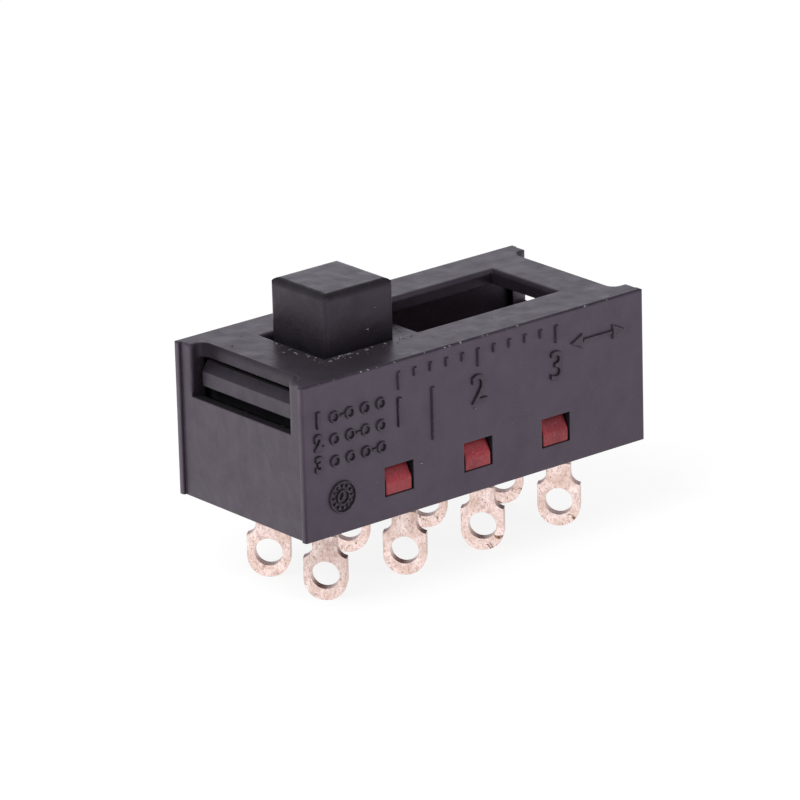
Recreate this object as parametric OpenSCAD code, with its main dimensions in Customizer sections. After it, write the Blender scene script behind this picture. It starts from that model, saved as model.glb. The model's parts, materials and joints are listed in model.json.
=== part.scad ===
// Two-pole, three-position slide switch with eight twisted solder lugs.
// X runs along the slider's travel, Z is up. The origin is under the middle of the switch, at the
// level of the lugs' lowest points, and the slider is at the -X end of its travel.

/* [Housing] */
// Length of the housing over its corner ridges
body_l = 34; // [34:0.1:35.5]
// Width of the housing
body_w = 15.5; // [15.4:0.1:16.5]
// Height of the housing, from its lower rim to its top
body_h = 12.35; // [12.3:0.05:13]
// Thickness of the side walls beside the slider
side_wall = 1.2; // [1.15:0.05:1.25]
// Thickness of the end walls, without the ridges
end_wall = 1.3; // [1.2:0.05:1.4]
// Thickness of the top wall
top_wall = 1.15; // [1.05:0.05:1.25]
// How far the corner ridges stand out of the end walls
ridge_out = 0.25; // [0.15:0.05:0.35]
// Width of a corner ridge
ridge_w = 0.6; // [0.4:0.1:0.9]
// Radius of the housing's outer edges
edge_r = 0.2; // [0.1:0.05:0.3]
// Width of the notch in each end wall
notch_w = 12; // [11.8:0.1:12.2]
// Height of the notch's floor above the lower rim
notch_floor = 8.2; // [8:0.1:8.6]
// Width of the slot in the top
slot_w = 7.4; // [7.35:0.05:7.8]
// How far the slot's middle lies behind the middle of the housing
slot_back = 0.25; // [0:0.01:0.28]
// How far the slot and the slider's travel lie towards +X of the middle of the housing
travel_shift = 0.2; // [0:0.02:0.24]
// Play between the knob and each end of the slot
slot_play = 0.3; // [0.1:0.05:0.5]
// Radius of the slot's upper edges
slot_edge_r = 0.4; // [0.2:0.05:0.6]
// Width of a snap window
window_w = 2.85; // [2.7:0.05:3.2]
// Height of a snap window's lower edge above the rim
window_low = 1.8; // [1.7:0.1:2]
// Height of a snap window's upper edge above the rim
window_high = 4.15; // [4:0.05:4.4]

/* [Slider] */
// Length of the knob along its travel
knob_l = 6.65; // [6:0.05:6.9]
// Width of the knob across its travel
knob_w = 6.65; // [6:0.05:6.8]
// Height of the knob above the housing's top
knob_h = 4.75; // [3:0.05:8]
// Radius of the knob's upright edges
knob_r = 0.35; // [0.25:0.05:0.9]
// Radius of the edges round the knob's top
knob_top_r = 0.6; // [0.3:0.05:1.2]
// Length of the carrier plate between the tips of its noses
carrier_l = 16.8; // [16.4:0.1:17]
// Thickness of the carrier plate
carrier_t = 1.9; // [1.8:0.05:1.95]

/* [Contacts] */
// Distance between neighbouring terminals, which is also one step of the slider
pitch = 7.85; // [7.7:0.05:7.9]
// Distance between the two rows of terminals
row_gap = 6.9; // [6.8:0.05:7]
// Thickness of the terminals' sheet
sheet_t = 0.8; // [0.7:0.05:0.85]
// Width of a solder lug
lug_w = 3.36; // [3:0.02:3.6]
// Diameter of a lug's wire hole
lug_hole_d = 2.2; // [1.8:0.05:2.4]
// How far the lugs reach below the housing's rim
lug_reach = 6.9; // [6.6:0.05:9]
// Width of a lug's neck
neck_w = 1.9; // [1.6:0.05:2.2]
// Angle by which the lugs are twisted
lug_twist = 48; // [40:1:50]

/* [Hidden] */

round_fn = 64;
arc_fn = 48;
cut = 1;                                      // how far a cut runs past the face that it opens

// Colours
black_plastic = [0.17, 0.15, 0.17];
red_plastic = [0.62, 0.2, 0.22];
copper = [0.86, 0.66, 0.55];
silver = [0.85, 0.85, 0.87];
bronze = [0.78, 0.6, 0.36];
steel = [0.7, 0.7, 0.72];

// Housing
rim_z = lug_reach;
travel = 2 * pitch;
rest_x = travel_shift - pitch;
half_l = body_l / 2;
half_w = body_w / 2;
end_face_x = half_l - ridge_out;
inner_x = end_face_x - end_wall;
inner_y = half_w - side_wall;
roof_z = body_h - top_wall;
seat_step = 0.15;                             // the lower cavity is this much wider, as the base's seat
slot_l = knob_l + travel + 2 * slot_play;
notch_r = 0.8;
sill_drop = 0.3;                              // how far the notch's floor slopes down inwards

// Base and contact levels, above the rim
base_gap = 0.1;
base_low = 0.3;
head_top = 7.4;
head_low = head_top - sheet_t;
base_top = head_top - 0.5;                    // the terminals' heads stand proud of the base
base_x = inner_x + seat_step - base_gap;
base_y = inner_y + seat_step - base_gap;
seat_z = base_top + 0.05;
row_y = row_gap / 2;
fit = 0.04;                                   // play round each terminal in the base

// Terminals
head_l = 5.4;
head_out = 2.55;                              // from the row's middle to the head's outer edge
bend_r = 0.4;
blade_w = 3;
shoulder_z = 1;                               // where the blade narrows to the neck
twist_h = 1.8;
lug_r = lug_w / 2;
lug_arc_z = -lug_reach + lug_r;
hole_lift = 0.35;                             // the wire hole lies this much above the lug's arc centre
lug_shoulder_z = lug_arc_z + 1.72;

// Detent: a channel in the base, a waved spring in it and a tooth under the slider
channel_w = 5;
channel_floor = 4.6;
channel_l = 28.4;
wave_mid = 6.55;
wave_amp = 0.35;
leaf_t = 0.25;
leaf_w = 2.8;
leaf_foot_x = 13.2;
tooth_r = 1.2;
tooth_gap = 0.03;

// Slider, in its own frame with the carrier's middle at x = 0
carrier_top = roof_z - 0.25;
carrier_low = carrier_top - carrier_t;
block_l = 2 * (inner_x - pitch - travel_shift - 0.14);
block_w = 2 * (inner_y - 0.15);
nose_w = notch_w - 1;
nose_in = 0.5;
nose_drop = 0.75;
skirt_l = 14.2;
skirt_low = head_top + 0.15;
knob_top = body_h + knob_h;

// Bridges, rivets and contact springs
bridge_y = row_y + 1.5;
bridge_w = 2;
bridge_t = 0.6;
bridge_l = pitch + 2.75;
bridge_low = head_top + 0.6;
bridge_top = bridge_low + bridge_t;
pocket_gap = 0.1;
rivet_r = 0.95;
rivet_shank_r = 0.5;
rivet_gap = 0.04;
tail_r = 0.75;
tail_h = 0.22;
coil_pocket_r = 1.1;
coil_pocket_top = carrier_low + 1.5;
coil_r = 0.8;
coil_wire_r = 0.15;
coil_turns = 3.5;
pip_r = 0.5;
pip_h = 0.3;

// ---- Shared shapes ----

// A rectangle centred on the origin with rounded corners.
module round_rect(w, h, r) {
    square([w - 2 * r, h], center = true);
    square([w, h - 2 * r], center = true);
    for (x = [-1, 1], y = [-1, 1])
        translate([x * (w / 2 - r), y * (h / 2 - r)]) circle(r, $fn = arc_fn);
}

// A rectangle from z = 0 up, centred on x = 0, with only its upper corners rounded.
module round_top_rect(w, h, r) {
    translate([-w / 2, 0]) square([w, h - r]);
    translate([-w / 2 + r, 0]) square([w - 2 * r, h]);
    for (x = [-1, 1])
        translate([x * (w / 2 - r), h - r]) circle(r, $fn = arc_fn);
}

// Extrudes a shape drawn in Y and Z along X, centred on x = 0.
module along_x(length) {
    rotate([90, 0, 90]) linear_extrude(length, center = true) children();
}

// Extrudes a shape drawn in X and Z along Y, centred on y = 0.
module along_y(width) {
    rotate([90, 0, 0]) linear_extrude(width, center = true) children();
}

// Moves what is measured from the housing's rim into the part's frame.
module on_rim() {
    translate([0, 0, rim_z]) children();
}

// Moves what is measured from the slider's middle to its rest position.
module on_slider() {
    translate([rest_x, 0, rim_z]) children();
}

function position_x(i) = (i - 2) * pitch;           // the knob's three positions
function terminal_x(i) = (i - 2.5) * pitch;         // the four terminals of a row

// ---- Housing ----

module housing_plan() {
    round_rect(2 * end_face_x, body_w, edge_r);
    for (x = [-1, 1], y = [-1, 1])
        translate([x * (half_l - 1), y * (half_w - ridge_w / 2)])
            round_rect(2, ridge_w, edge_r);
}

module housing_block() {
    intersection() {
        linear_extrude(body_h) housing_plan();
        along_x(body_l + cut) round_top_rect(body_w, body_h, edge_r);
        along_y(body_w + cut) round_top_rect(body_l, body_h, edge_r);
    }
}

module cavity() {
    translate([-inner_x, -inner_y, -cut]) cube([2 * inner_x, 2 * inner_y, roof_z + cut]);
    translate([-inner_x - seat_step, -inner_y - seat_step, -cut])
        cube([2 * (inner_x + seat_step), 2 * (inner_y + seat_step), seat_z + cut]);
}

// The notch is square inside the end wall, with a floor that slopes down inwards, and has round
// corners where it meets the top wall.
module end_notch() {
    along_y(notch_w) polygon([
        [half_l + cut, roof_z], [half_l + cut, notch_floor], [end_face_x - 0.1, notch_floor],
        [inner_x, notch_floor - sill_drop], [inner_x - cut, notch_floor - sill_drop],
        [inner_x - cut, roof_z]
    ]);
    translate([inner_x, 0, roof_z - 0.01]) linear_extrude(top_wall + cut) {
        translate([notch_r, -notch_w / 2]) square([half_l, notch_w]);
        translate([0, notch_r - notch_w / 2]) square([half_l, notch_w - 2 * notch_r]);
        for (y = [-1, 1])
            translate([notch_r, y * (notch_w / 2 - notch_r)]) circle(notch_r, $fn = arc_fn);
    }
}

// The slot's cross-section, from the housing's top down, with rounded upper edges.
module flared(width) {
    r = slot_edge_r;
    translate([-width / 2, -top_wall - cut]) square([width, top_wall + 2 * cut]);
    difference() {
        translate([-width / 2 - r, -r]) square([width + 2 * r, r + cut]);
        for (x = [-1, 1]) translate([x * (width / 2 + r), -r]) circle(r, $fn = round_fn);
    }
}

// Where the two flared prisms cross, the rounded edges meet in mitred corners.
module top_slot() {
    translate([travel_shift, slot_back, body_h]) intersection() {
        along_y(slot_w + 2 * slot_edge_r) flared(slot_l);
        along_x(slot_l + 2 * slot_edge_r) flared(slot_w);
    }
}

module snap_windows() {
    for (i = [1:3])
        translate([position_x(i) - window_w / 2, -half_w - cut, window_low])
            cube([window_w, body_w + 2 * cut, window_high - window_low]);
}

module housing() {
    color(black_plastic) on_rim() difference() {
        housing_block();
        cavity();
        top_slot();
        end_notch();
        mirror([1, 0, 0]) end_notch();
        snap_windows();
    }
}

// ---- Base ----

// A barb: its ramp runs out and down, and its lower face catches under the window.
module barb() {
    root_y = base_y - 0.3;
    tip_y = half_w - 0.04;
    low_z = window_low + 0.04;
    nose_r = 0.2;
    along_x(window_w - 0.45) {
        polygon([
            [root_y, low_z], [tip_y - nose_r, low_z], [tip_y, low_z + nose_r],
            [base_y, window_high + 0.2], [root_y, window_high + 0.2]
        ]);
        translate([tip_y - nose_r, low_z + nose_r]) circle(nose_r, $fn = arc_fn);
    }
}

// The room that one terminal of the front row takes out of the base.
module terminal_seat() {
    translate([-head_l / 2 - fit, -row_y - head_out - fit, head_low])
        cube([head_l + 2 * fit, head_out + sheet_t / 2 + 2 * fit, sheet_t + cut]);
    translate([-blade_w / 2 - fit, -row_y - sheet_t / 2 - fit, shoulder_z])
        cube([blade_w + 2 * fit, sheet_t + 2 * fit, head_top]);
    translate([-blade_w / 2 - fit, -row_y - sheet_t / 2 - bend_r, head_low - bend_r])
        cube([blade_w + 2 * fit, bend_r + fit, bend_r + cut]);
    translate([-neck_w / 2 - fit, -row_y - sheet_t / 2 - fit, -cut])
        cube([neck_w + 2 * fit, sheet_t + 2 * fit, head_top]);
}

// Hollows in the underside, with a rib left between neighbouring terminals.
module base_hollows() {
    hollow_l = pitch - 2.2;
    hollow_h = channel_floor - 1.2;
    for (i = [1:3])
        translate([position_x(i) - hollow_l / 2, -1.6, -cut]) cube([hollow_l, 3.2, hollow_h + cut]);
    for (i = [1:3], y = [-1, 1])
        translate([position_x(i) - 1.6, y * (row_y + 0.7) - 0.9, -cut]) cube([3.2, 1.8, 2 + cut]);
}

module terminal_base() {
    color(red_plastic) on_rim() {
        difference() {
            translate([-base_x, -base_y, base_low])
                cube([2 * base_x, 2 * base_y, base_top - base_low]);
            translate([-channel_l / 2, -channel_w / 2, channel_floor])
                cube([channel_l, channel_w, head_top]);
            for (i = [1:4]) translate([terminal_x(i), 0, 0]) {
                terminal_seat();
                mirror([0, 1, 0]) terminal_seat();
            }
            base_hollows();
        }
        for (i = [1:3]) translate([position_x(i), 0, 0]) {
            barb();
            mirror([0, 1, 0]) barb();
        }
    }
}

// ---- Terminals ----

// The lug's outline, in X and Z: a round eye below concave shoulders.
module lug_outline() {
    neck_z = lug_shoulder_z + 0.9;
    cut_r = 0.9;
    difference() {
        union() {
            translate([0, lug_arc_z]) circle(lug_r, $fn = round_fn);
            translate([-lug_r, lug_arc_z]) square([lug_w, neck_z - lug_arc_z]);
        }
        translate([0, lug_arc_z + hole_lift]) circle(lug_hole_d / 2, $fn = round_fn);
        for (x = [-1, 1]) translate([x * (neck_w / 2 + cut_r), neck_z]) circle(cut_r, $fn = arc_fn);
    }
    translate([-neck_w / 2, neck_z - 0.01]) square([neck_w, -twist_h - neck_z + 0.02]);
}

// The blade and its head, as a strip bent outwards at the top. Drawn in Y and Z for the front row.
module bent_strip() {
    inner = -row_y - sheet_t / 2;
    outer_r = bend_r + sheet_t;
    translate([inner, shoulder_z]) square([sheet_t, head_top - outer_r - shoulder_z]);
    translate([-row_y - head_out, head_low]) square([head_out - sheet_t / 2 - bend_r, sheet_t]);
    translate([inner - bend_r, head_low - bend_r]) intersection() {
        difference() {
            circle(outer_r, $fn = round_fn);
            circle(bend_r, $fn = round_fn);
        }
        square(outer_r + cut);
    }
}

module front_terminal() {
    flat_w = head_out - sheet_t / 2 - bend_r;
    along_x(blade_w) bent_strip();
    translate([-head_l / 2, -row_y - head_out, head_low]) cube([head_l, flat_w, sheet_t]);
    translate([-neck_w / 2, -row_y - sheet_t / 2, 0])
        cube([neck_w, sheet_t, shoulder_z + 0.01]);
    translate([0, -row_y, -twist_h])
        rotate([0, 0, -lug_twist])
            linear_extrude(twist_h, twist = -lug_twist, slices = 12)
                square([neck_w, sheet_t], center = true);
    translate([0, -row_y, 0]) rotate([0, 0, -lug_twist]) along_y(sheet_t) lug_outline();
}

// The rear row is the front row turned half round, so that all the lugs face the same way.
module front_terminal_at(i) {
    color(copper) on_rim() translate([terminal_x(i), 0, 0]) front_terminal();
}

module rear_terminal_at(i) {
    color(copper) on_rim() translate([terminal_x(i), 0, 0]) rotate([0, 0, 180]) front_terminal();
}

// ---- Slider ----

module knob() {
    height = knob_top - carrier_low;
    translate([0, 0, carrier_low]) intersection() {
        linear_extrude(height) round_rect(knob_l, knob_w, knob_r);
        along_x(knob_l + cut) round_top_rect(knob_w, height, knob_top_r);
        along_y(knob_w + cut) round_top_rect(knob_l, height, knob_top_r);
    }
}

module carrier_plate() {
    nose_x = carrier_l / 2;
    translate([-block_l / 2, -block_w / 2, carrier_low]) cube([block_l, block_w, carrier_t]);
    along_y(nose_w) polygon([
        [-nose_x, carrier_low], [nose_x, carrier_low],
        [nose_x, carrier_top - nose_drop], [nose_x - nose_in, carrier_top],
        [nose_in - nose_x, carrier_top], [-nose_x, carrier_top - nose_drop]
    ]);
}

module bridge_pocket() {
    pocket_l = bridge_l + 4 * pocket_gap;
    translate([-pocket_l / 2, bridge_y - bridge_w / 2 - pocket_gap, 0])
        cube([pocket_l, bridge_w + 2 * pocket_gap, carrier_low]);
    translate([0, bridge_y, 0]) cylinder(r = coil_pocket_r, h = coil_pocket_top, $fn = round_fn);
}

module detent_tooth() {
    tooth_z = wave_mid - wave_amp + leaf_t / 2 + tooth_gap + tooth_r;
    translate([0, 0, tooth_z]) rotate([90, 0, 0])
        cylinder(r = tooth_r, h = leaf_w, center = true, $fn = round_fn);
    translate([-tooth_r, -leaf_w / 2, tooth_z]) cube([2 * tooth_r, leaf_w, skirt_low + 0.1 - tooth_z]);
}

module slider() {
    color(black_plastic) on_slider() {
        difference() {
            union() {
                carrier_plate();
                translate([-skirt_l / 2, -block_w / 2, skirt_low])
                    cube([skirt_l, block_w, carrier_low - skirt_low + 0.01]);
                knob();
            }
            bridge_pocket();
            mirror([0, 1, 0]) bridge_pocket();
        }
        detent_tooth();
    }
}

// ---- Bridges, rivets and springs ----

module bridge() {
    translate([0, bridge_y, bridge_low]) difference() {
        union() {
            linear_extrude(bridge_t) round_rect(bridge_l, bridge_w, 0.6);
            cylinder(r = pip_r, h = bridge_t + pip_h, $fn = arc_fn);
        }
        for (x = [-1, 1]) translate([x * pitch / 2, 0, -cut])
            cylinder(r = rivet_shank_r + 0.02, h = bridge_t + 2 * cut, $fn = arc_fn);
    }
}

// One rivet: a domed contact face, a shank through the bridge and a peened tail.
module rivet(side) {
    dome_h = bridge_low - head_top - rivet_gap;
    dome_r = (rivet_r * rivet_r + dome_h * dome_h) / (2 * dome_h) + 0.4;
    translate([side * pitch / 2, bridge_y, bridge_low]) {
        intersection() {
            translate([0, 0, dome_r - dome_h]) sphere(dome_r, $fn = round_fn);
            translate([0, 0, -dome_h]) cylinder(r = rivet_r, h = dome_h, $fn = arc_fn);
        }
        translate([0, 0, -0.05])
            cylinder(r = rivet_shank_r, h = bridge_t + tail_h, $fn = arc_fn);
        translate([0, 0, bridge_t]) cylinder(r1 = tail_r, r2 = tail_r - 0.15, h = tail_h, $fn = arc_fn);
    }
}

function ring(i, sides, steps, low, high) =
    let (turn = 360 * coil_turns * i / steps, rise = (high - low) * i / steps + low)
    [for (k = [0:sides - 1])
        let (a = 360 * k / sides, out = coil_r + coil_wire_r * cos(a))
        [out * cos(turn), out * sin(turn), rise + coil_wire_r * sin(a)]];

module contact_spring() {
    sides = 8;
    steps = 70;
    low = bridge_top + coil_wire_r + 0.01;
    high = coil_pocket_top - coil_wire_r - 0.01;
    points = [for (i = [0:steps]) each ring(i, sides, steps, low, high)];
    faces = concat(
        [[for (k = [0:sides - 1]) k]],
        [for (i = [0:steps - 1], k = [0:sides - 1])
            let (a = i * sides + k, b = i * sides + (k + 1) % sides)
            [a, a + sides, b + sides, b]],
        [[for (k = [sides - 1:-1:0]) steps * sides + k]]
    );
    translate([0, bridge_y, 0]) polyhedron(points, faces, convexity = 8);
}

module at_front() {
    on_slider() mirror([0, 1, 0]) children();
}

module at_rear() {
    on_slider() children();
}

// The height of the leaf's middle: a wave with a dip at each position, then a slope to each foot.
// It is measured from the middle of the slider's travel.
function wave_z(x) = wave_mid - wave_amp * cos(360 * x / pitch);
function leaf_path() = let (crest = 1.5 * pitch, steps = 54) concat(
    [[-leaf_foot_x - 0.7, channel_floor + leaf_t / 2 + 0.01], [-leaf_foot_x, channel_floor + leaf_t / 2 + 0.01]],
    [for (i = [0:steps]) let (x = -crest + 2 * crest * i / steps) [x, wave_z(x)]],
    [[leaf_foot_x, channel_floor + leaf_t / 2 + 0.01], [leaf_foot_x + 0.7, channel_floor + leaf_t / 2 + 0.01]]
);

// The unit normal of a path at point i.
function path_normal(p, i) =
    let (a = p[max(i - 1, 0)], b = p[min(i + 1, len(p) - 1)], d = b - a)
    [-d[1], d[0]] / norm(d);

module detent_leaf() {
    p = leaf_path();
    n = len(p);
    along_y(leaf_w) polygon(concat(
        [for (i = [0:n - 1]) p[i] + path_normal(p, i) * leaf_t / 2],
        [for (i = [n - 1:-1:0]) p[i] - path_normal(p, i) * leaf_t / 2]
    ));
}

// ---- Nodes ----

module front_terminal_1() { front_terminal_at(1); }
module front_terminal_2() { front_terminal_at(2); }
module front_terminal_3() { front_terminal_at(3); }
module front_terminal_4() { front_terminal_at(4); }
module rear_terminal_1() { rear_terminal_at(1); }
module rear_terminal_2() { rear_terminal_at(2); }
module rear_terminal_3() { rear_terminal_at(3); }
module rear_terminal_4() { rear_terminal_at(4); }
module front_bridge() { color(copper) at_front() bridge(); }
module rear_bridge() { color(copper) at_rear() bridge(); }
module front_left_rivet() { color(silver) at_front() rivet(-1); }
module front_right_rivet() { color(silver) at_front() rivet(1); }
module rear_left_rivet() { color(silver) at_rear() rivet(-1); }
module rear_right_rivet() { color(silver) at_rear() rivet(1); }
module front_contact_spring() { color(steel) at_front() contact_spring(); }
module rear_contact_spring() { color(steel) at_rear() contact_spring(); }
module detent_spring() { color(bronze) on_rim() translate([travel_shift, 0, 0]) detent_leaf(); }

housing();
terminal_base();
front_terminal_1();
front_terminal_2();
front_terminal_3();
front_terminal_4();
rear_terminal_1();
rear_terminal_2();
rear_terminal_3();
rear_terminal_4();
slider();
front_bridge();
rear_bridge();
front_left_rivet();
front_right_rivet();
rear_left_rivet();
rear_right_rivet();
front_contact_spring();
rear_contact_spring();
detent_spring();
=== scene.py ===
import json
import math
import random

import bmesh
import bpy
from mathutils import Matrix, Vector


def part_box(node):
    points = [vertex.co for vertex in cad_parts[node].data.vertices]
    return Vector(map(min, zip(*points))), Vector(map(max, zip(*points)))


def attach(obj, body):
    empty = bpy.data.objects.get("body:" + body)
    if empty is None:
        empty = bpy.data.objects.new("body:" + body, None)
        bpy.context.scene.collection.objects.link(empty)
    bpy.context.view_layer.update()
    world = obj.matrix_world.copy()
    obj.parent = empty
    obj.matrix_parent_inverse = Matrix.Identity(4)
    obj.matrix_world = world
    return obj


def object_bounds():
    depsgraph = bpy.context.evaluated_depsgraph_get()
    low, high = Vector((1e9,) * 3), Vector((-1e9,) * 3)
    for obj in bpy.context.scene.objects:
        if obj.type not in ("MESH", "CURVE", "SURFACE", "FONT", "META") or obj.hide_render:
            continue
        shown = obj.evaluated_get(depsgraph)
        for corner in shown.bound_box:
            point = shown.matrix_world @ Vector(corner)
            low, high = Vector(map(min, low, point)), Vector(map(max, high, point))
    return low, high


# The looks of the slide switch: materials for its CAD nodes, which keep their shapes and places, then
# faces for the snap barbs, raised marks on the front wall, crumbs, floor, sky, lamps and camera.

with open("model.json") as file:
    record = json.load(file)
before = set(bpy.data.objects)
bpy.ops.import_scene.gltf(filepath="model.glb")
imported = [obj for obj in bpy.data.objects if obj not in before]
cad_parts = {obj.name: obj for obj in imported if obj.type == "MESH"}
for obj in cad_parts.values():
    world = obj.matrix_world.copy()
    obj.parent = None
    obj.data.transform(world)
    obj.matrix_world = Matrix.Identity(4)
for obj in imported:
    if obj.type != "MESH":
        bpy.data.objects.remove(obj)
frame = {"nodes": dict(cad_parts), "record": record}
cad_box = [list(corner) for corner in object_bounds()]

MM = 0.001

HOUSING_LOW, HOUSING_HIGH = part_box("housing")
BASE_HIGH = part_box("terminal_base")[1]
SLIDER_LOW, SLIDER_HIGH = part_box("slider")
LUG_NORMAL = next(m["axis"] for m in frame["record"]["mounts"] if m["name"] == "front_wire_hole_1")
TERMINALS = sorted(n for n in frame["nodes"] if "_terminal_" in n)
TERMINALS_A_SIDE = len(TERMINALS) // 2
RIVETS = sorted(n for n in frame["nodes"] if n.endswith("_rivet"))
TRAVEL = frame["record"]["behaviour"]["joints"][0]["range_m"][1]
REST_X = (SLIDER_LOW.x + SLIDER_HIGH.x) / 2
STOPS = [REST_X + TRAVEL * i / 2 for i in range(3)]      # the knob's middle at its three positions
RIM = HOUSING_LOW.z
TOP = HOUSING_HIGH.z
FRONT = HOUSING_LOW.y


# ---- Building blocks for materials ----

ALONG, ACROSS, UP = (1, 0, 0), (0, 1, 0), (0, 0, 1)


class Shader:
    """A small builder for one procedural material. Coordinates are in millimetres."""

    def __init__(self, name):
        self.material = bpy.data.materials.new(name)
        self.material.use_nodes = True
        self.tree = self.material.node_tree
        self.tree.nodes.clear()
        self.out = self.tree.nodes.new("ShaderNodeOutputMaterial")
        self.coord = self.tree.nodes.new("ShaderNodeTexCoord")
        scaled = self.tree.nodes.new("ShaderNodeVectorMath")
        scaled.operation = "MULTIPLY"
        scaled.inputs[1].default_value = (1 / MM, 1 / MM, 1 / MM)
        self.link(self.coord.outputs["Object"], scaled.inputs[0])
        self.place = scaled.outputs[0]

    def link(self, a, b):
        self.tree.links.new(a, b)

    def feed(self, value, socket):
        """Links a socket's value, or sets a number."""
        if isinstance(value, (int, float)):
            socket.default_value = value
        else:
            self.link(value, socket)

    def stretched(self, x, y, z):
        """The place, scaled along each axis, for a texture that isn't the same in all directions."""
        node = self.tree.nodes.new("ShaderNodeVectorMath")
        node.operation = "MULTIPLY"
        node.inputs[1].default_value = (x, y, z)
        self.link(self.place, node.inputs[0])
        return node.outputs[0]

    def noise(self, scale, detail=3.0, rough=0.5, at=None, warp=0.0):
        """Cloudy noise from 0 to 1. The scale says about how many clouds there are in a millimetre."""
        node = self.tree.nodes.new("ShaderNodeTexNoise")
        node.inputs["Scale"].default_value = scale
        node.inputs["Detail"].default_value = detail
        node.inputs["Roughness"].default_value = rough
        node.inputs["Distortion"].default_value = warp
        self.link(at or self.place, node.inputs["Vector"])
        return node.outputs["Fac"]

    def cells(self, scale):
        """Distance to the nearest of scattered points."""
        node = self.tree.nodes.new("ShaderNodeTexVoronoi")
        node.inputs["Scale"].default_value = scale
        self.link(self.place, node.inputs["Vector"])
        return node.outputs["Distance"]

    def math(self, operation, a, b=None):
        node = self.tree.nodes.new("ShaderNodeMath")
        node.operation = operation
        self.feed(a, node.inputs[0])
        if b is not None:
            self.feed(b, node.inputs[1])
        return node.outputs[0]

    def times(self, first, *others):
        """The product of several values."""
        for other in others:
            first = self.math("MULTIPLY", first, other)
        return first

    def span(self, value, low, high, to_low=0.0, to_high=1.0, smooth=True):
        """Maps low..high to to_low..to_high, clamped."""
        node = self.tree.nodes.new("ShaderNodeMapRange")
        node.interpolation_type = "SMOOTHSTEP" if smooth else "LINEAR"
        node.clamp = True
        self.link(value, node.inputs["Value"])
        node.inputs["From Min"].default_value = low
        node.inputs["From Max"].default_value = high
        node.inputs["To Min"].default_value = to_low
        node.inputs["To Max"].default_value = to_high
        return node.outputs["Result"]

    def band(self, value, rise, fall):
        """1 between a rise and a fall, each given as where it begins and where it ends."""
        return self.times(self.span(value, *rise), self.span(value, *fall, 1, 0))

    def eased(self, mask, level):
        """1 where a mask is 0, and a level where it is 1."""
        return self.span(mask, 0, 1, 1, level)

    def axis(self, name):
        """One coordinate, in millimetres."""
        node = self.tree.nodes.new("ShaderNodeSeparateXYZ")
        self.link(self.place, node.inputs[0])
        return node.outputs[name]

    def off_middle(self, name):
        """The distance from the housing's middle plane along one axis, in millimetres."""
        return self.math("ABSOLUTE", self.axis(name))

    def facing(self, direction):
        """How squarely the surface faces along a direction, either way, from 0 to 1."""
        node = self.tree.nodes.new("ShaderNodeVectorMath")
        node.operation = "DOT_PRODUCT"
        node.inputs[1].default_value = direction
        self.link(self.coord.outputs["Normal"], node.inputs[0])
        return self.math("ABSOLUTE", node.outputs["Value"])

    def rounded(self, radius):
        """The surface's normal, turned at the edges as a radius in millimetres would turn it."""
        node = self.tree.nodes.new("ShaderNodeBevel")
        node.samples = 6
        if isinstance(radius, (int, float)):
            node.inputs["Radius"].default_value = radius * MM
        else:
            self.link(self.times(radius, MM), node.inputs["Radius"])
        return node.outputs[0]

    def edges(self, rounded):
        """1 along the edges that a rounded normal has turned, 0 on open faces."""
        turned, unturned = 0.75, 0.995
        node = self.tree.nodes.new("ShaderNodeVectorMath")
        node.operation = "DOT_PRODUCT"
        true_normal = self.tree.nodes.new("ShaderNodeNewGeometry")
        self.link(rounded, node.inputs[0])
        self.link(true_normal.outputs["Normal"], node.inputs[1])
        return self.span(node.outputs["Value"], turned, unturned, 1, 0)

    def openness(self, reach):
        """1 on open faces, towards 0 in gaps and corners up to a reach across, in millimetres."""
        node = self.tree.nodes.new("ShaderNodeAmbientOcclusion")
        node.samples = 6
        node.inputs["Distance"].default_value = reach * MM
        return node.outputs["AO"]

    def mix(self, factor, a, b):
        """Mixes two colours, each a socket or (r, g, b)."""
        node = self.tree.nodes.new("ShaderNodeMix")
        node.data_type = "RGBA"
        self.feed(factor, node.inputs[0])
        for socket, value in ((node.inputs[6], a), (node.inputs[7], b)):
            if isinstance(value, tuple):
                socket.default_value = (*value, 1)
            else:
                self.link(value, socket)
        return node.outputs[2]

    def bump(self, height, depth, below=None):
        """A normal that follows a height map of some depth in millimetres, over the normal below it."""
        node = self.tree.nodes.new("ShaderNodeBump")
        node.inputs["Strength"].default_value = 1.0
        node.inputs["Distance"].default_value = depth * MM
        self.link(height, node.inputs["Height"])
        if below:
            self.link(below, node.inputs["Normal"])
        return node.outputs[0]

    def surface(self, colour, roughness, normal, metallic=0.0, specular=0.5, sheen=(1, 1, 1)):
        node = self.tree.nodes.new("ShaderNodeBsdfPrincipled")
        self.link(colour, node.inputs["Base Color"])
        self.link(roughness, node.inputs["Roughness"])
        self.link(normal, node.inputs["Normal"])
        node.inputs["Metallic"].default_value = metallic
        self.feed(specular, node.inputs["Specular IOR Level"])
        node.inputs["Specular Tint"].default_value = (*sheen, 1)
        self.link(node.outputs[0], self.out.inputs["Surface"])
        return self.material


# ---- Moulded plastic ----

# In millimetres
CREASE_REACH = 0.6                # how wide a gap counts as a crease
DEEP_REACH = 5.0                  # and how wide a hollow as a deep place
SPECK_H = 0.02                    # thickness of a speck of dust
WAVE_H = 0.05                     # depth of the slow waves in a moulded face
SHADE_WITHIN_BLUR = 0.3                 # how softly the painted shade inside a part begins
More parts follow.
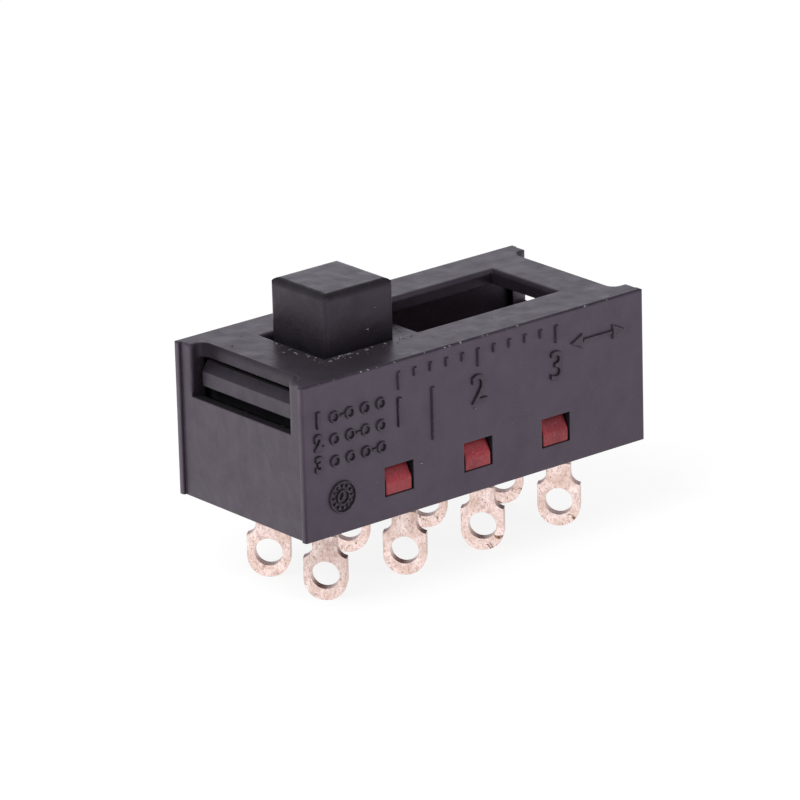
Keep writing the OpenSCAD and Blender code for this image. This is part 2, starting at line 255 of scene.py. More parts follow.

# Ranges that a mask goes over, and the shares that it leaves
LOOKS_UP = (0.85, 1)              # how squarely a face looks up
WORN_PATCHES = (0.38, 0.66)       # noise
WORN_SHARES = (0.15, 0.9)
DEEP_SHADE_SPAN = (0.06, 0.48)          # openness, from the painted shade's near-black to the plastic's own colour
DEEP_SHEEN_SHADE = (0.12, 0.62)          # openness, from the sheen's painted shade to its full sheen
DEEP_SHINE = 0.15
CREASE_SHEEN_SHADE = (0.35, 0.9)         # openness, from the sheen's painted shade to its full sheen
CREASE_SHINE = 0.45
SHADE_WITHIN_OWN = 0.35                 # share of its own colour that the painted shade inside a part keeps
UNEVEN = (0.35, 0.65)             # noise, from smooth to rough


def clouded(s, base, pale, worn, mottle):
    """A cloudy colour with paler streaks and small worn mottles."""
    clouds = s.span(s.noise(0.35, detail=4, rough=0.55), 0.32, 0.68)
    streaked = s.noise(1.6, detail=6, rough=0.7, at=s.stretched(0.35, 1, 1.4), warp=0.6)
    colour = s.mix(s.span(streaked, 0.56, 0.74, 0, 0.55), s.mix(clouds, base, pale), pale)
    return s.mix(s.span(s.noise(5, detail=4, rough=0.65), 0.5, 0.7, 0, mottle), colour, worn)


def dust_specks(s, amount):
    """Scattered round specks, gathered in patches."""
    spots = s.span(s.cells(2.1), 0.035, 0.075, 1, 0)
    patches = s.span(s.noise(0.9, detail=2), 0.5, 0.66)
    return s.times(spots, patches, amount)


def moulded(name, base, pale, worn, dust_and_top_light, sheen=(1, 1, 1), radius=0.08, rough=(0.34, 0.47),
            specular=0.5, specks=0.5, grain=0.004, mottle=0.15, top_shine=0.0, top_light=0.0, shade_within=0.0,
            sheen_shade=None):
    """Moulded plastic: cloudy colour, a fine mould grain, flow marks, worn edges (on the red, painted
    highlight too) and specks of dust.

    Faces that look up are smoother by top_shine, and can be made paler with painted light. Creases and
    deep places
    carry painted shade: their sheen is dimmed and deep places take a near-black colour, as can what lies
    near the middle plane. The radius of the soft edges is a number or a function that makes one. Where
    given, a further function makes a factor for the sheen, painted shade or highlight. Lengths are in
    millimetres.
    """
    s = Shader(name)
    soft = s.rounded(radius(s) if callable(radius) else radius)
    upward = s.span(s.facing(UP), *LOOKS_UP)
    openness = s.openness(DEEP_REACH)
    edge_wear_and_light = s.times(s.edges(soft), s.span(s.noise(1.3, detail=5, rough=0.65), *WORN_PATCHES, *WORN_SHARES))
    speck = dust_specks(s, specks)
    fine = s.noise(11, detail=4, rough=0.62)
    waves = s.noise(0.8, detail=2, rough=0.4)

    # Worn edges take the worn colour; on the red base that colour also stands as painted highlight along
    # the soft edges.
    colour = s.mix(edge_wear_and_light, clouded(s, base, pale, worn, mottle), worn)
    colour = s.mix(speck, colour, dust_and_top_light)
    # Painted light: faces that look up are made paler, towards the dust colour.
    if top_light:
        colour = s.mix(s.times(upward, top_light), colour, dust_and_top_light)
    # Painted shade: deep places take a near-black colour as openness falls.
    colour = s.mix(s.span(openness, *DEEP_SHADE_SPAN), DEEP_SHADE, colour)
    # Painted shade: inside the part, near the middle plane, more of that near-black colour.
    if shade_within:
        own = s.span(s.off_middle("Y"), shade_within - SHADE_WITHIN_BLUR, shade_within, SHADE_WITHIN_OWN, 1)
        colour = s.mix(own, DEEP_SHADE, colour)

    uneven = s.math("ADD", s.times(waves, 0.6), s.times(fine, 0.4))
    uneven = s.math("ADD", uneven, s.times(edge_wear_and_light, 0.12))
    roughness = s.span(uneven, *UNEVEN, *rough, smooth=False)
    roughness = s.math("SUBTRACT", roughness, s.times(upward, top_shine))

    normal = s.bump(waves, WAVE_H, soft)
    normal = s.bump(fine, grain, normal)
    normal = s.bump(speck, SPECK_H, normal)

    # Painted shade: the sheen is dimmed in deep places and in creases, as openness falls.
    level = s.span(openness, *DEEP_SHEEN_SHADE, DEEP_SHINE * specular, specular)
    level = s.times(level, s.span(s.openness(CREASE_REACH), *CREASE_SHEEN_SHADE, CREASE_SHINE, 1))
    if sheen_shade:
        level = s.times(level, sheen_shade(s))
    return s.surface(colour, roughness, normal, specular=level, sheen=sheen)


# ---- Where painted shade and highlight change the black plastics' sheen, and where they are softer ----

# All in millimetres. A pair says where a change begins and where it ends.
TOP_Z = TOP / MM
CARRIER_Z = TOP_Z - 1.4                                # the top of the slider's carrier plate
END_X = HOUSING_HIGH.x / MM - 0.25                     # the end walls' outer faces, behind the ridges
OVER_TOP = (TOP_Z - 1, TOP_Z)
NOSE_CHAMFER = (CARRIER_Z - 0.7, CARRIER_Z)
SET_BACK = (END_X - 1.15, END_X - 0.75)                # from the top wall's ends out to the end walls
TOP_WALL_END = (TOP_Z - 0.7, TOP_Z - 0.15)
FAR_CORNER = (2.8, 5.0)                                # along the notch, towards its far corner
CAVITY_X, CAVITY_Y = (15.2, 15.5), (6.6, 6.9)          # the walls' inner faces
ON_RIDGE = (END_X + 0.01, END_X + 0.04)
RIDGE_STEP = (7.5, 7.65)                               # short of the housing's long sides
FAR_RIDGE = ((7.1, 7.25), (7.5, 7.7))                  # the far ridge's width
FILLET_Y = ((4.4, 5.3), (5.9, 6.2))                    # the rounded corners of the notches
FILLET_X = (END_X - 0.5, END_X - 0.2)
FILLET_Z = (TOP_Z - 2, TOP_Z - 1.6)
POST_Y = ((5.3, 5.6), (6.6, 6.9))                      # the posts beside the notches
POST_X = (END_X - 1, END_X - 0.6)
POST_Z = (TOP_Z - 4, TOP_Z - 3.6)
EDGE_SOFT, POST_SOFT = 0.13, 0.45                      # radii of the soft edges

# How squarely the faces in question look along one direction
CHAMFER_UP = ((0.3, 0.5), (0.6, 0.8))
SET_BACK_ALONG = (0.3, 0.7)
STEP_ACROSS = (0.5, 0.8)
CAVITY_UP = (0.2, 0.75)
FILLET_UP = (0.4, 0.9)

# The share of the sheen that a place keeps, or loses. A pair runs upwards. In the housing and on the
# noses' chamfers these are painted shade, and on the far ridge a painted highlight.
KNOB_SHINE = 0.61
CAVITY_SHINE = 0.55
RIDGE_STEP_SHINE = 0.35
FAR_RIDGE_HIGHLIGHT = 1.4
FILLET_SHINE = 0.4
CHAMFER_LOSS = (0.2, 0.6)
TOP_WALL_END_LOSS = (0.48, 0.78)
FAR_CORNER_LOSS = 0.62


def knob_dulled(s):
    """Dims the slider's sheen where it stands above the housing, and paints shade on its noses' chamfers
    by dimming their sheen.
    """
    height, upward = s.axis("Z"), s.facing(UP)
    above = s.span(height, *OVER_TOP)
    chamfer = s.times(s.band(upward, *CHAMFER_UP), s.span(height, *NOSE_CHAMFER, *CHAMFER_LOSS),
                      s.math("SUBTRACT", 1, above))
    return s.times(s.eased(above, KNOB_SHINE), s.math("SUBTRACT", 1, chamfer))


def recesses_dulled(s):
    """Paints shade into the housing's recesses by dimming their sheen.

    These are the top wall's ends over the notches and the far corner there, the notches' rounded corners,
    the inside of the walls with the slot's sides, and the steps beside the ridges. The far ridge's face
    gets a painted highlight: its sheen is raised a little.
    """
    along, across, upward = s.off_middle("X"), s.off_middle("Y"), s.facing(UP)
    set_back = s.times(s.span(along, *SET_BACK, 1, 0), s.span(s.facing(ALONG), *SET_BACK_ALONG))
    top_wall_end = s.times(set_back, s.span(s.axis("Z"), *TOP_WALL_END, *TOP_WALL_END_LOSS))
    far_corner = s.times(set_back, s.span(s.axis("Y"), *FAR_CORNER, 0, FAR_CORNER_LOSS))
    cavity = s.times(s.span(along, *CAVITY_X, 1, 0), s.span(across, *CAVITY_Y, 1, 0),
                     s.span(upward, *CAVITY_UP, 1, 0))
    on_ridge = s.span(along, *ON_RIDGE)
    step = s.times(on_ridge, s.span(s.facing(ACROSS), *STEP_ACROSS), s.span(across, *RIDGE_STEP, 1, 0))
    far_ridge = s.times(on_ridge, s.band(s.axis("Y"), *FAR_RIDGE))
    fillet = s.times(s.band(across, *FILLET_Y), s.span(along, *FILLET_X, 1, 0),
                     s.span(s.axis("Z"), *FILLET_Z), s.span(upward, *FILLET_UP, 1, 0))
    return s.times(s.math("SUBTRACT", 1, top_wall_end), s.eased(far_corner, 0),
                   s.eased(cavity, CAVITY_SHINE), s.eased(step, RIDGE_STEP_SHINE),
                   s.eased(far_ridge, FAR_RIDGE_HIGHLIGHT), s.eased(fillet, FILLET_SHINE))


def posts_softened(s):
    """The radius of the housing's edges, larger on the posts beside the notches."""
    post = s.times(s.band(s.off_middle("Y"), *POST_Y), s.span(s.off_middle("X"), *POST_X),
                   s.span(s.axis("Z"), *POST_Z))
    return s.span(post, 0, 1, EDGE_SOFT, POST_SOFT)


# ---- Metals ----

ROLLED_FACE = (0.45, 0.8)         # how squarely a rolled face looks along the lug's axis
LOW_END = (0.2, 2.6, 0.09, 0)     # heights above the floor, and how much more tarnish there is
TARNISHED = (0.645, 0.73)         # noise
# Heights of the rolling grain, of finer grain and of the pits, in millimetres
ROLLED_H, FINE_H, PIT_H = 0.012, 0.006, -0.02


def tarnished(name, base, pale, brown, cut):
    """Stamped copper alloy sheet: rolled faces, darker sheared edges, pits and dull blotches.

    Brown tarnish gathers at the free ends, where the sheet was handled and heated.
    """
    s = Shader(name)
    soft = s.rounded(0.06)
    fine = s.noise(14, detail=4, rough=0.6)
    rolled = s.noise(9, detail=4, rough=0.65, at=s.stretched(1, 1, 0.3))

    colour = s.mix(s.span(s.noise(0.9, detail=5, rough=0.6, warp=0.4), 0.34, 0.68), base, pale)
    for dull, low, high, most in ((s.noise(2.3, detail=7, rough=0.78, warp=0.5), 0.48, 0.7, 0.55),
                                  (s.noise(5, detail=4, rough=0.75), 0.5, 0.66, 0.45),
                                  (rolled, 0.48, 0.72, 0.5)):
        colour = s.mix(s.span(dull, low, high, 0, most), colour, cut)

    low_end = s.span(s.axis("Z"), *LOW_END)
    stain = s.math("ADD", s.noise(0.95, detail=6, rough=0.72, warp=0.9), low_end)
    pits = s.times(s.span(s.cells(3.1), 0.07, 0.17, 1, 0), s.span(s.noise(1.7, detail=2), 0.46, 0.56))
    mark = s.math("MAXIMUM", s.span(stain, *TARNISHED), pits)
    colour = s.mix(mark, colour, brown)

    rolled_over = s.times(s.edges(soft), s.span(s.noise(4, detail=3, rough=0.6), 0.35, 0.6, 0.2, 0.8))
    streaks = s.span(s.noise(7, detail=3, rough=0.6), 0.3, 0.7, 0.5, 0.95)
    sheared = s.times(s.span(s.facing(LUG_NORMAL), *ROLLED_FACE, 1, 0), streaks)
    colour = s.mix(s.math("MAXIMUM", rolled_over, sheared), colour, cut)

    roughness = s.span(s.math("ADD", fine, s.times(mark, 0.35)), 0.35, 0.95, 0.28, 0.66, smooth=False)
    normal = s.bump(rolled, ROLLED_H, soft)
    normal = s.bump(fine, FINE_H, normal)
    normal = s.bump(pits, PIT_H, normal)
    return s.surface(colour, roughness, normal, metallic=1.0)


def drawn_metal(name, base, dark):
    """Clean bright metal with a faint drawn grain and a little grime."""
    s = Shader(name)
    grime = s.span(s.noise(1.8, detail=5, rough=0.65), 0.5, 0.72, 0, 0.6)
    fine = s.noise(16, detail=4, rough=0.6)
    roughness = s.span(fine, *UNEVEN, 0.2, 0.38, smooth=False)
    normal = s.bump(fine, 0.004, s.rounded(0.04))
    return s.surface(s.mix(grime, base, dark), roughness, normal, metallic=1.0)


# ---- Colours and materials ----

BLACK = (0.0145, 0.0105, 0.0155)
BLACK_PALE = (0.0200, 0.0155, 0.0215)
BLACK_WORN = (0.050, 0.043, 0.053)
MARK_WORN = (0.16, 0.145, 0.165)
# Colour of the dust specks, and of the painted light on faces that look up
DUST_AND_TOP_LIGHT = (0.30, 0.28, 0.29)
DEEP_SHADE = (0.0165, 0.0165, 0.0180)   # painted shade: the near-black colour that plastic takes deep inside
SLIDER_BLACK = (0.0050, 0.0043, 0.0056)
SLIDER_PALE = (0.0095, 0.0080, 0.0100)
PLUM = (1.0, 0.80, 1.06)          # tint of the black plastics' sheen
RED = (0.140, 0.006, 0.011)
RED_PALE = (0.225, 0.014, 0.021)
# pale red of worn edges and mottles, also painted highlight along the soft edges
RED_WORN_AND_HIGHLIT = (0.480, 0.140, 0.150)
RED_DUST = (0.70, 0.45, 0.42)
COPPER = (0.620, 0.468, 0.416)
COPPER_PALE = (0.790, 0.655, 0.620)
COPPER_BROWN = (0.165, 0.080, 0.033)
COPPER_CUT = (0.280, 0.165, 0.140)
BRIDGE_COPPER, BRIDGE_DARK = (0.76, 0.47, 0.34), (0.35, 0.2, 0.13)
SILVER, SILVER_DARK = (0.82, 0.81, 0.79), (0.4, 0.38, 0.35)
STEEL, STEEL_DARK = (0.6, 0.6, 0.61), (0.3, 0.3, 0.3)
BRONZE, BRONZE_DARK = (0.72, 0.52, 0.28), (0.35, 0.22, 0.1)
CRUMB_PALE, CRUMB_DARK = (0.20, 0.19, 0.20), (0.06, 0.055, 0.06)


def crumb_shade():
    """Dust and crumbs of plastic, dull and unevenly grey."""
    s = Shader("crumbs")
    tint = s.span(s.noise(3.0), 0.35, 0.65)
    colour = s.mix(tint, CRUMB_PALE, CRUMB_DARK)
    return s.surface(colour, s.span(tint, 0, 1, 0.6, 0.85), s.bump(s.noise(20), 0.01), specular=0.4)


housing_plastic = moulded("housing_plastic", BLACK, BLACK_PALE, BLACK_WORN, DUST_AND_TOP_LIGHT, PLUM,
                          radius=posts_softened, top_shine=0.04, top_light=0.03, sheen_shade=recesses_dulled)
mark_plastic = moulded("mark_plastic", BLACK, BLACK_PALE, MARK_WORN, DUST_AND_TOP_LIGHT, PLUM, radius=0.06,
                       rough=(0.40, 0.53), specular=0.42)
slider_plastic = moulded("slider_plastic", SLIDER_BLACK, SLIDER_PALE, BLACK_WORN, DUST_AND_TOP_LIGHT, PLUM, grain=0.005,
                         top_shine=0.16, sheen_shade=knob_dulled)
base_plastic = moulded("base_plastic", RED, RED_PALE, RED_WORN_AND_HIGHLIT, RED_DUST, radius=0.22, rough=(0.34, 0.48),
                       specular=0.36, specks=0.4, grain=0.009, mottle=0.2, shade_within=6.7)
terminal_metal = tarnished("terminal_metal", COPPER, COPPER_PALE, COPPER_BROWN, COPPER_CUT)
bridge_metal = drawn_metal("bridge_metal", BRIDGE_COPPER, BRIDGE_DARK)
rivet_metal = drawn_metal("rivet_metal", SILVER, SILVER_DARK)
coil_metal = drawn_metal("coil_metal", STEEL, STEEL_DARK)
leaf_metal = drawn_metal("leaf_metal", BRONZE, BRONZE_DARK)
crumbs = crumb_shade()


# ---- Finish of the CAD nodes ----


def dress(names, material):
    """Gives CAD nodes their material. Their shapes stay as they are."""
    for name in names:
        mesh = frame["nodes"][name].data
        mesh.materials.clear()
        mesh.materials.append(material)


dress(["housing"], housing_plastic)
dress(["terminal_base"], base_plastic)
dress(["slider"], slider_plastic)
dress(TERMINALS, terminal_metal)
dress(["front_bridge", "rear_bridge"], bridge_metal)
dress(RIVETS, rivet_metal)
dress(["front_contact_spring", "rear_contact_spring"], coil_metal)
dress(["detent_spring"], leaf_metal)


# ---- Pieces ----


def add_piece(name, mesh, material, body):
    mesh.materials.append(material)
    piece = bpy.data.objects.new(name, mesh)
    bpy.context.scene.collection.objects.link(piece)
    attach(piece, body)


def mesh_from(bm, name):
    bmesh.ops.recalc_face_normals(bm, faces=bm.faces)
    mesh = bpy.data.meshes.new(name)
    bm.to_mesh(mesh)
    bm.free()
    return mesh


# ---- Faces of the snap barbs ----

BARB_W = 2.5 * MM
BARB_LIP_R = 0.16 * MM            # the rounding along the lower edge
BARB_SIDE_R = 0.09 * MM
BARB_OUT = 0.02 * MM              # how far the face stands out of the CAD barb's tip
# Heights above the rim: the face's lower edge, the foot of its ramp, and its end under the window's edge
BARB_LOW, BARB_BEND, BARB_HIGH = 1.81 * MM, 2.75 * MM, 4.13 * MM
BARB_BEND_IN, BARB_BEND_UP = 0.05 * MM, 0.18 * MM     # the short slope that eases the bend
BARB_RAMP_IN = 0.73 * MM          # how far back the ramp leads
BARB_ROOT_IN = 1.1 * MM
LIP_STEPS = 4


def barb_section():
    """The barb's section, as distances back from its tip and heights above the rim."""
    section = [(BARB_ROOT_IN, BARB_LOW)]
    for k in range(LIP_STEPS + 1):
        turn = math.pi / 2 * k / LIP_STEPS
        section.append((BARB_LIP_R * (1 - math.sin(turn)), BARB_LOW + BARB_LIP_R * (1 - math.cos(turn))))
    section.append((0, BARB_BEND))
    section.append((BARB_BEND_IN, BARB_BEND + BARB_BEND_UP))
    section.append((BARB_RAMP_IN, BARB_HIGH))
    section.append((BARB_ROOT_IN, BARB_HIGH))
    return section


def add_barb_face(bm, centre_x, side):
    """One barb's face: an upright foot with a rounded lip, and a ramp above it."""
    tip = BASE_HIGH.y + BARB_OUT
    section = barb_section()
    ends = []
    for x in (centre_x - BARB_W / 2, centre_x + BARB_W / 2):
        ends.append([bm.verts.new((x, side * (tip - back), RIM + height)) for back, height in section])
    count = len(section)
    for k in range(count):
        n = (k + 1) % count
        bm.faces.new((ends[0][k], ends[0][n], ends[1][n], ends[1][k]))
    for end in ends:
        bm.faces.new(end)
    seen = [bm.edges.get((end[k], end[k + 1])) for end in ends for k in range(1, count - 2)]
    bmesh.ops.bevel(bm, geom=seen, offset=BARB_SIDE_R, segments=2, profile=0.5, affect="EDGES")


def make_barb_faces():
    """The faces of the barbs, each midway between two terminals of its side."""
    bm = bmesh.new()
    for first in range(1, TERMINALS_A_SIDE):
        low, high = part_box(f"front_terminal_{first}")[0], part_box(f"front_terminal_{first + 1}")[1]
        for side in (-1, 1):
            add_barb_face(bm, (low.x + high.x) / 2, side)
    add_piece("barb_faces", mesh_from(bm, "barb_faces"), base_plastic, "switch_body")


# ---- Raised marks on the front wall ----

RELIEF = 0.18 * MM
SLOPE = 0.08 * MM                 # how much a raised mark narrows towards its face
SUNK = 0.1 * MM                   # how deep a mark's foot lies in the wall
TICK_W = 0.34 * MM

SCALE_TOP = RIM + 11.5 * MM
LONG_TICK = 1.5 * MM
SHORT_TICK = 0.75 * MM
TICKS_PER_STOP = 5

STROKE_W = 0.28 * MM              # width of a numeral's strokes
FONT_H = 0.7                      # a digit's height, as a share of the font's size
FONT_STROKE = 0.13                # a font's stroke, as a share of the digit's height
NUMERAL_H = 2.3 * MM
NUMERAL_Z = RIM + 8.1 * MM

DIVIDER_X = -4.4 * MM
DIVIDER_LOW = RIM + 5.2 * MM
DIVIDER_HIGH = RIM + 9.5 * MM

DIAGRAM_LEFT = -14.0 * MM         # the first ring of each row of the contact diagram
DIAGRAM_STEP = 1.5 * MM           # from ring to ring
DIAGRAM_TOP = RIM + 9.4 * MM
DIAGRAM_ROW = 1.75 * MM           # from row to row
DIAGRAM_RING = 0.5 * MM           # outer radius of a ring
DIAGRAM_LINE = 0.25 * MM          # width of a ring's line and of a bar
DIAGRAM_NUMERAL_H = 1.15 * MM

ARROW_X = 12.2 * MM
ARROW_Z = RIM + 9.6 * MM
ARROW_L = 5.6 * MM
ARROW_HEAD = 1.3 * MM
ARROW_FACE = 0.8                  # size of a head's face, as a share of its foot's

DIAL_X = -13.4 * MM
DIAL_Z = RIM + 2.9 * MM
DIAL_R = 1.3 * MM
DIAL_RING_W = 0.2 * MM
DIAL_MONTHS = 12
MONTH_R = DIAL_R * 0.67
MONTH_W, MONTH_L = 0.12 * MM, 0.28 * MM
HUB_R = DIAL_R * 0.48
HUB_RING_W = 0.16 * MM
HUB_ARROW_W, HUB_ARROW_UP, HUB_ARROW_DOWN = HUB_R * 0.8, HUB_R * 0.62, HUB_R * 0.372
DIAL_FACE = 0.6                   # size of a month's or the arrow's face, as a share of its foot's


def add_mark(name, bm):
    add_piece(name, mesh_from(bm, name), mark_plastic, "switch_body")


def add_raised(bm, outline, inner):
    """A raised form on the front wall, from the outlines of its foot and of its face, in X and Z."""
    foot = [bm.verts.new((x, FRONT + SUNK, z)) for x, z in outline]
    lip = [bm.verts.new((x, FRONT, z)) for x, z in outline]
    face = [bm.verts.new((x, FRONT - RELIEF, z)) for x, z in inner]
    count = len(outline)
    for k in range(count):
        n = (k + 1) % count
        bm.faces.new((foot[k], foot[n], lip[n], lip[k]))
        bm.faces.new((lip[k], lip[n], face[n], face[k]))
    bm.faces.new(face)
    bm.faces.new(foot)


def add_tapered(bm, outline, share):
    """A raised form whose face is its foot drawn in towards the middle."""
    foot = [Vector(corner) for corner in outline]
    middle = sum(foot, Vector((0, 0))) / len(foot)
    add_raised(bm, foot, [middle + (corner - middle) * share for corner in foot])


def add_bar(bm, left, right, low, high):
    """An upright or level bar."""
    def corners(inset):
        return [(left + inset, low + inset), (right - inset, low + inset),
                (right - inset, high - inset), (left + inset, high - inset)]
    add_raised(bm, corners(0), corners(SLOPE))


def add_ring(bm, centre_x, centre_z, inner_r, outer_r, steps=64):
    """A raised ring, made by turning its section."""
    slope = min(SLOPE, (outer_r - inner_r) / 3)
    section = [(inner_r, -SUNK), (inner_r, 0), (inner_r + slope, RELIEF),
               (outer_r - slope, RELIEF), (outer_r, 0), (outer_r, -SUNK)]
    rings = []
    for k in range(steps):
        turn = 2 * math.pi * k / steps
        x, z = math.cos(turn), math.sin(turn)
        rings.append([bm.verts.new((centre_x + r * x, FRONT - h, centre_z + r * z)) for r, h in section])
    for k in range(steps):
        here, after = rings[k], rings[(k + 1) % steps]
        for j in range(len(section)):
            i = (j + 1) % len(section)
            bm.faces.new((here[j], here[i], after[i], after[j]))


def make_scale():
    """A fine scale along the slider's travel, with a long tick at each of its three positions."""
    bm = bmesh.new()
    steps = (len(STOPS) - 1) * TICKS_PER_STOP
    for k in range(steps + 1):
        x = STOPS[0] + (STOPS[-1] - STOPS[0]) * k / steps
        length = SHORT_TICK if k % TICKS_PER_STOP else LONG_TICK
        add_bar(bm, x - TICK_W / 2, x + TICK_W / 2, SCALE_TOP - length, SCALE_TOP)
    add_mark("position_scale", bm)


def make_divider():
    """A plain upright line between the numerals 1 and 2."""
    bm = bmesh.new()
    add_bar(bm, DIVIDER_X - TICK_W / 2, DIVIDER_X + TICK_W / 2, DIVIDER_LOW, DIVIDER_HIGH)
    add_mark("divider_line", bm)


def make_contact_diagram():
    """One row for each position, with a ring for each terminal of a side and a bar that joins two."""
    bm = bmesh.new()
    for row in range(len(STOPS)):
        z = DIAGRAM_TOP - row * DIAGRAM_ROW
        rings = [DIAGRAM_LEFT + k * DIAGRAM_STEP for k in range(TERMINALS_A_SIDE)]
        for x in rings:
            add_ring(bm, x, z, DIAGRAM_RING - DIAGRAM_LINE, DIAGRAM_RING, steps=28)
        add_bar(bm, rings[row] + DIAGRAM_RING, rings[row + 1] - DIAGRAM_RING,
                z - DIAGRAM_LINE / 2, z + DIAGRAM_LINE / 2)
        make_numeral(f"diagram_numeral_{row + 1}", str(row + 1), DIAGRAM_LEFT - DIAGRAM_STEP, z,
                     DIAGRAM_NUMERAL_H)
    add_mark("contact_diagram", bm)


def make_travel_arrow():
    """A double-headed arrow for the way that the slider moves."""
    bm = bmesh.new()
    half = ARROW_L / 2
    add_bar(bm, ARROW_X - half + ARROW_HEAD, ARROW_X + half - ARROW_HEAD,
            ARROW_Z - TICK_W / 2, ARROW_Z + TICK_W / 2)
    for side in (-1, 1):
        tip, back = ARROW_X + side * half, ARROW_X + side * (half - ARROW_HEAD)
        head = ((tip, ARROW_Z), (back, ARROW_Z + ARROW_HEAD / 2), (back, ARROW_Z - ARROW_HEAD / 2))
        add_tapered(bm, head, ARROW_FACE)
    add_mark("travel_arrow", bm)


def make_mould_dial():
    """The round dial of months that moulded parts carry: two rings, twelve ticks and an arrow."""
    bm = bmesh.new()
    add_ring(bm, DIAL_X, DIAL_Z, DIAL_R - DIAL_RING_W, DIAL_R)
    add_ring(bm, DIAL_X, DIAL_Z, HUB_R - HUB_RING_W, HUB_R)
    for k in range(DIAL_MONTHS):
        turn = 2 * math.pi * k / DIAL_MONTHS
        outward = Vector((math.cos(turn), math.sin(turn)))
        sideways = Vector((-math.sin(turn), math.cos(turn)))
        middle = Vector((DIAL_X, DIAL_Z)) + outward * MONTH_R
        corners = [middle + sideways * a * MONTH_W / 2 + outward * b * MONTH_L / 2
                   for a, b in ((-1, -1), (1, -1), (1, 1), (-1, 1))]
        add_tapered(bm, corners, DIAL_FACE)
    low, half = DIAL_Z - HUB_ARROW_DOWN, HUB_ARROW_W / 2
    arrow = ((DIAL_X - half, low), (DIAL_X + half, low), (DIAL_X, DIAL_Z + HUB_ARROW_UP))
    add_tapered(bm, arrow, DIAL_FACE)
    add_mark("mould_dial", bm)


def make_numeral(name, digit, x, z, height):
    """One plain raised numeral, upright on the front wall."""
    curve = bpy.data.curves.new(name + "_outline", "FONT")
    curve.body = digit
    curve.size = height / FONT_H
    curve.align_x = "CENTER"
    curve.align_y = "CENTER"
    curve.resolution_u = 5
    curve.offset = (STROKE_W - FONT_STROKE * height) / 2
    curve.extrude = RELIEF - SLOPE / 2
    curve.bevel_depth = SLOPE / 2
    curve.bevel_resolution = 0
    outline = bpy.data.objects.new(name + "_outline", curve)
    bpy.context.scene.collection.objects.link(outline)
    bpy.context.view_layer.update()
    shaped = outline.evaluated_get(bpy.context.evaluated_depsgraph_get())
    mesh = bpy.data.meshes.new_from_object(shaped)
    mesh.name = name
    mesh.transform(Matrix.Translation((x, FRONT, z)) @ Matrix.Rotation(math.pi / 2, 4, "X"))
    bpy.data.objects.remove(outline)
    add_piece(name, mesh, mark_plastic, "switch_body")


make_barb_faces()
make_scale()
make_divider()
make_contact_diagram()
make_travel_arrow()
make_mould_dial()
for number, stop in enumerate(STOPS, 1):
    make_numeral(f"position_numeral_{number}", str(number), stop, NUMERAL_Z, NUMERAL_H)


# ---- Dust and moulding crumbs ----

CRUMB_R = (0.04, 0.15)            # millimetres
CRUMB_SMALLEST = 0.5              # the least share of its radius that a crumb keeps
BURRS, WALL_SPECKS, KNOB_SPECKS = 34, 9, 5
BURR_IN = 0.08 * MM               # how far inside the wall's upper edge a burr's middle lies
KNOB = [v.co for v in frame["nodes"]["slider"].data.vertices if v.co.z > TOP + MM]
KNOB_FRONT = min(place.y for place in KNOB) - 0.075 * MM      # just in front of the knob's front face
SLOT_FRONT = -3.9 * MM            # the top wall in front of the slot
BY_SLOT_LEFT = STOPS[0] - 3.6 * MM     # the slot's left end
BY_KNOB_RIGHT = STOPS[0] + 3.9 * MM    # just right of the knob at rest
SLOT_EDGE = 0.45 * MM             # room for the slot's rounded edge
# Parts of the surfaces, in millimetres
LEFT_OF_SLOT_Y = (-3.9, 2.5)
FRONT_STRIP = ((-15.5, 15.5), (-7.3, -4.2))
LEFT_END = ((-15.5, -12.0), (-5.5, 6.5))
WALL_X, WALL_Z = (-16, 16), (0.8, 11.8)
KNOB_X, KNOB_Z = (-2.6, 2.6), (1.5, 4.2)


def add_crumb(bm, place, radius, rng):
    """An irregular flake: a small ball of few faces, pushed out of shape."""
    made = bmesh.ops.create_icosphere(bm, subdivisions=1, radius=radius)["verts"]
    stretch = Vector([rng.uniform(0.5, 1.5), rng.uniform(0.5, 1.5), rng.uniform(0.4, 0.9)])
    turn = Matrix.Rotation(rng.uniform(0, math.tau), 3, "Z")
    for vert in made:
        ragged = vert.co * rng.uniform(0.7, 1.25)
        vert.co = turn @ Vector([a * b for a, b in zip(ragged, stretch)]) + place


def make_crumbs(name, places, seed, body):
    rng = random.Random(seed)
    bm = bmesh.new()
    for place in places(rng):
        radius = rng.uniform(*CRUMB_R) * MM * rng.uniform(CRUMB_SMALLEST, 1)
        add_crumb(bm, place, radius, rng)
    add_piece(name, mesh_from(bm, name), crumbs, body)


def before_slot(rng, count, pick_x, spread):
    """Places in front of the slot, thickest at its edge, with a spread in millimetres."""
    for _ in range(count):
        x = pick_x()
        yield Vector((x, SLOT_FRONT - abs(rng.gauss(0, spread)) * MM, TOP))


def left_of_slot(rng, count, spread):
    """Places to the left of the slot, past its rounded edge, with a spread in millimetres."""
    for _ in range(count):
        x = BY_SLOT_LEFT - SLOT_EDGE - abs(rng.gauss(0, spread)) * MM
        yield Vector((x, rng.uniform(*LEFT_OF_SLOT_Y) * MM, TOP))


def strewn(rng, count, x_range, y_range):
    """Places all over a part of the top."""
    for _ in range(count):
        x = rng.uniform(*x_range) * MM
        yield Vector((x, rng.uniform(*y_range) * MM, TOP))


